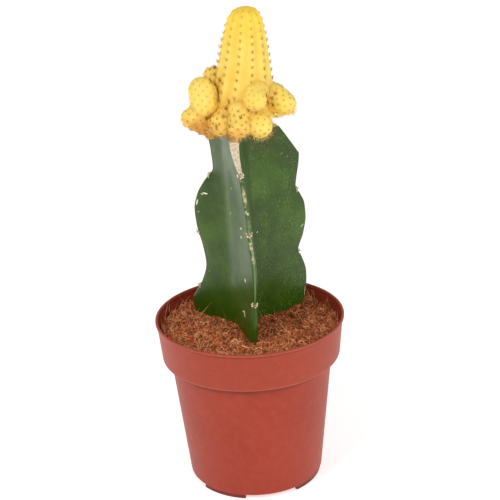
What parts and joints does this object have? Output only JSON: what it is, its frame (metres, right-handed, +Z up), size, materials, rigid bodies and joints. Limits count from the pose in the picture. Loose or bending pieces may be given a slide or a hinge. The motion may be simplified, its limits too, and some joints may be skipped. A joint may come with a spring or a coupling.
{
  "type": "potted moon cactus",
  "caption": "Grafted moon cactus: a yellow ribbed column with round offsets at its foot, on a winged green rootstock in a terracotta-coloured plastic nursery pot of coir mix.",
  "frame": {"origin": "middle of the pot's foot circle, on the surface it stands on", "axes": "+Z up through the pot and the plant; -Y towards the viewer of the picture, so that the rootstock's front wing points along -Y"},
  "size_m": [0.085, 0.085, 0.217],
  "materials": {
    "pot": "satin thin-walled injection-moulded plastic",
    "potting_mix": "rough coir fibre and crumbs",
    "rootstock": "waxy green skin with pale specks and corky seams",
    "scion": "soft yellow flesh with a faint sheen, short brown spines"
  },
  "bodies": {
    "root": {"pot": "pot", "potting_mix": "potting_mix", "rootstock": "rootstock", "scion_column": "scion", "offset_left_upper": "scion", "offset_left_lower": "scion", "offset_left_back": "scion", "offset_front_right": "scion", "offset_right": "scion", "offset_right_upper": "scion", "offset_front_right_lower": "scion", "offset_front_lower": "scion", "offset_front_left_lower": "scion", "offset_back_right": "scion", "offset_back_middle": "scion", "offset_back_lower": "scion", "offset_back_left": "scion"}
  },
  "joints": []
}
